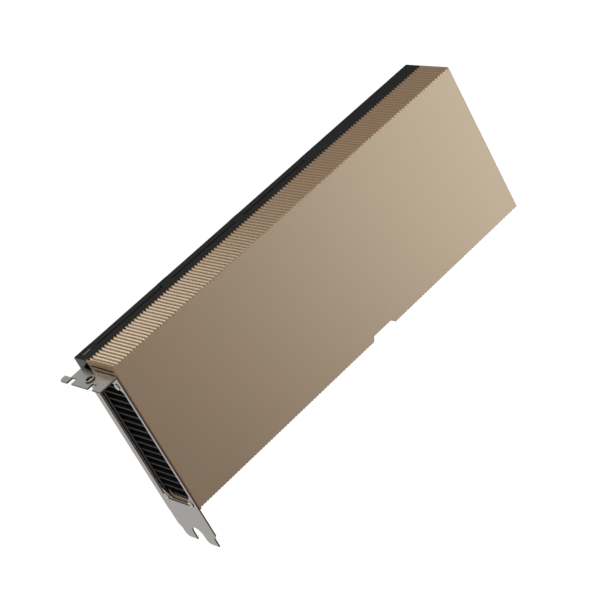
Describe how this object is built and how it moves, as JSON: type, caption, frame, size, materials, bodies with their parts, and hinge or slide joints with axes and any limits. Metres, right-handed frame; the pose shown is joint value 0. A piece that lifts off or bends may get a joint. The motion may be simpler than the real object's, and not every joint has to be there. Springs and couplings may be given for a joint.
{
  "type": "passive accelerator card",
  "caption": "Fanless dual-slot full-length server expansion card with a ribbed metal cover, an open slot bracket and covered link connectors.",
  "frame": {"origin": "middle of the backplate's outer face, which the card lies on", "axes": "+Z from the backplate to the ribbed cover's face, +X from the slot bracket to the far end, +Y from the contact edge to the link-connector side"},
  "size_m": [0.2793, 0.1266, 0.0406],
  "materials": {
    "cover": "bead-blasted bronze-gold anodised",
    "black_metal": "fine matt black",
    "black_plastic": "matt moulded",
    "steel": "satin nickel-plated",
    "bright_steel": "polished",
    "fins": "black anodised",
    "copper": "nickel-flashed copper",
    "board": "solder mask",
    "gold": "gold plated",
    "ceramic": "matt component body",
    "silicon": "polished silicon",
    "pad": "soft thermal pad"
  },
  "bodies": {
    "root": {"cover": "cover", "backplate": "black_metal", "link_cap_1": "black_plastic", "link_cap_2": "black_plastic", "link_cap_3": "black_plastic", "slot_bracket": "steel", "bracket_screws": "bright_steel", "circuit_board": "board", "edge_contacts": "gold", "upper_rail": "black_metal", "lower_rail": "black_metal", "heatsink": "fins", "heat_spreader": "copper", "die_interface": "pad", "processor_substrate": "board", "processor_die": "silicon", "memory_stacks": "silicon", "stiffener_frame": "steel", "inductors": "ceramic", "power_stages": "ceramic", "capacitors": "ceramic", "thermal_pads": "pad", "power_header": "black_plastic", "power_pins": "gold", "backplate_screws": "black_metal"}
  },
  "joints": []
}
